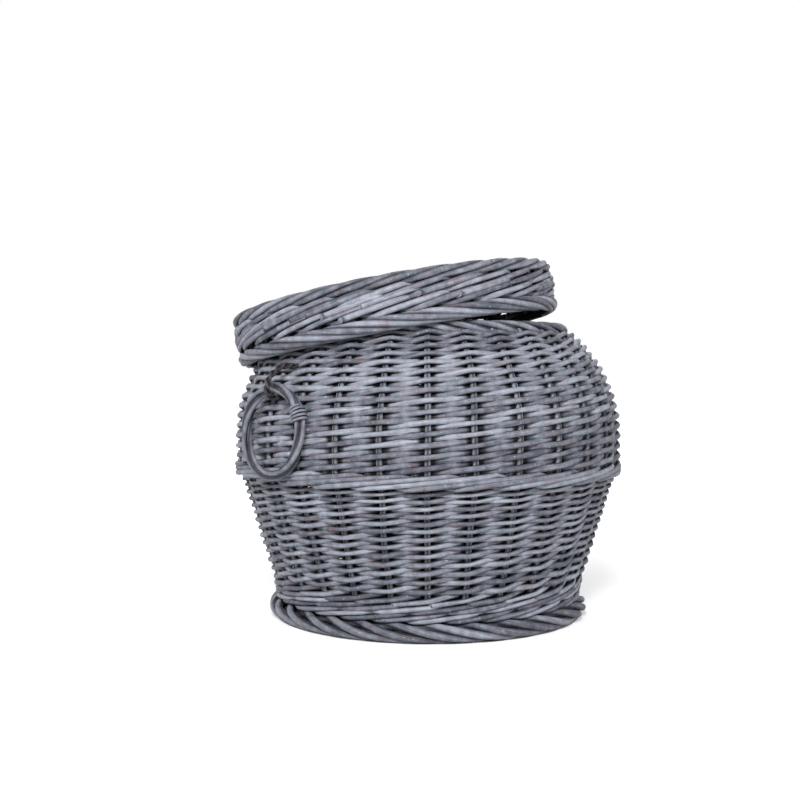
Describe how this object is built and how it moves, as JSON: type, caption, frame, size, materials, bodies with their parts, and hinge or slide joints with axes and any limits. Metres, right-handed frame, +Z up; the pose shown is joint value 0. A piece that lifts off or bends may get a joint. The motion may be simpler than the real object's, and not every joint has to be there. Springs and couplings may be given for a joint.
{
  "type": "lidded laundry basket",
  "caption": "Bellied round laundry basket woven from grey-stained willow, with laid-in foot and rim borders, a loose cap lid lying ajar and a twisted ring handle on each side.",
  "frame": {"origin": "on the floor, under the axis of the round basket", "axes": "+Z up along the basket's axis; the two ring handles hang at -X and +X"},
  "size_m": [0.49, 0.4582, 0.4199],
  "materials": {
    "willow_weave": "grey stain, matt",
    "willow_border": "grey stain, satin",
    "willow_frame": "grey stain, matt",
    "willow_skein": "grey stain, satin"
  },
  "bodies": {
    "basket": {"stake_1": "willow_frame", "stake_2": "willow_frame", "stake_3": "willow_frame", "stake_4": "willow_frame", "stake_5": "willow_frame", "stake_6": "willow_frame", "stake_7": "willow_frame", "stake_8": "willow_frame", "stake_9": "willow_frame", "stake_10": "willow_frame", "stake_11": "willow_frame", "stake_12": "willow_frame", "stake_13": "willow_frame", "stake_14": "willow_frame", "stake_15": "willow_frame", "stake_16": "willow_frame", "stake_17": "willow_frame", "stake_18": "willow_frame", "stake_19": "willow_frame", "stake_20": "willow_frame", "stake_21": "willow_frame", "stake_22": "willow_frame", "stake_23": "willow_frame", "stake_24": "willow_frame", "stake_25": "willow_frame", "stake_26": "willow_frame", "stake_27": "willow_frame", "stake_28": "willow_frame", "base_split_stick_1": "willow_frame", "base_split_stick_2": "willow_frame", "base_split_stick_3": "willow_frame", "base_split_stick_4": "willow_frame", "base_threaded_stick_1": "willow_frame", "base_threaded_stick_2": "willow_frame", "base_threaded_stick_3": "willow_frame", "base_weave": "willow_weave", "bottom_wale": "willow_weave", "lower_band": "willow_weave", "belly_wale": "willow_weave", "upper_band": "willow_weave", "foot_border": "willow_border", "rim_border": "willow_border", "left_handle_loop": "willow_border", "right_handle_loop": "willow_border"},
    "lid": {"lid_skirt": "willow_weave", "lid_top": "willow_weave", "lid_lower_border": "willow_border", "lid_top_border": "willow_border", "lid_split_stick_1": "willow_frame", "lid_split_stick_2": "willow_frame", "lid_split_stick_3": "willow_frame", "lid_split_stick_4": "willow_frame", "lid_threaded_stick_1": "willow_frame", "lid_threaded_stick_2": "willow_frame", "lid_threaded_stick_3": "willow_frame"},
    "left_ring": {"left_ring": "willow_border", "left_ring_binding": "willow_skein"},
    "right_ring": {"right_ring": "willow_border", "right_ring_binding": "willow_skein"}
  },
  "joints": [
    {"name": "lid_lift", "type": "slide", "parent": "basket", "child": "lid", "axis": [0, 0, 1], "range_m": [0, 0.3]},
    {"name": "left_ring_swing", "type": "hinge", "parent": "basket", "child": "left_ring", "pos_m": [-0.23144, 0, 0.272], "axis": [0, 1, 0], "range_deg": [0, 140]},
    {"name": "right_ring_swing", "type": "hinge", "parent": "basket", "child": "right_ring", "pos_m": [0.23144, 0, 0.272], "axis": [0, -1, 0], "range_deg": [0, 140]}
  ]
}
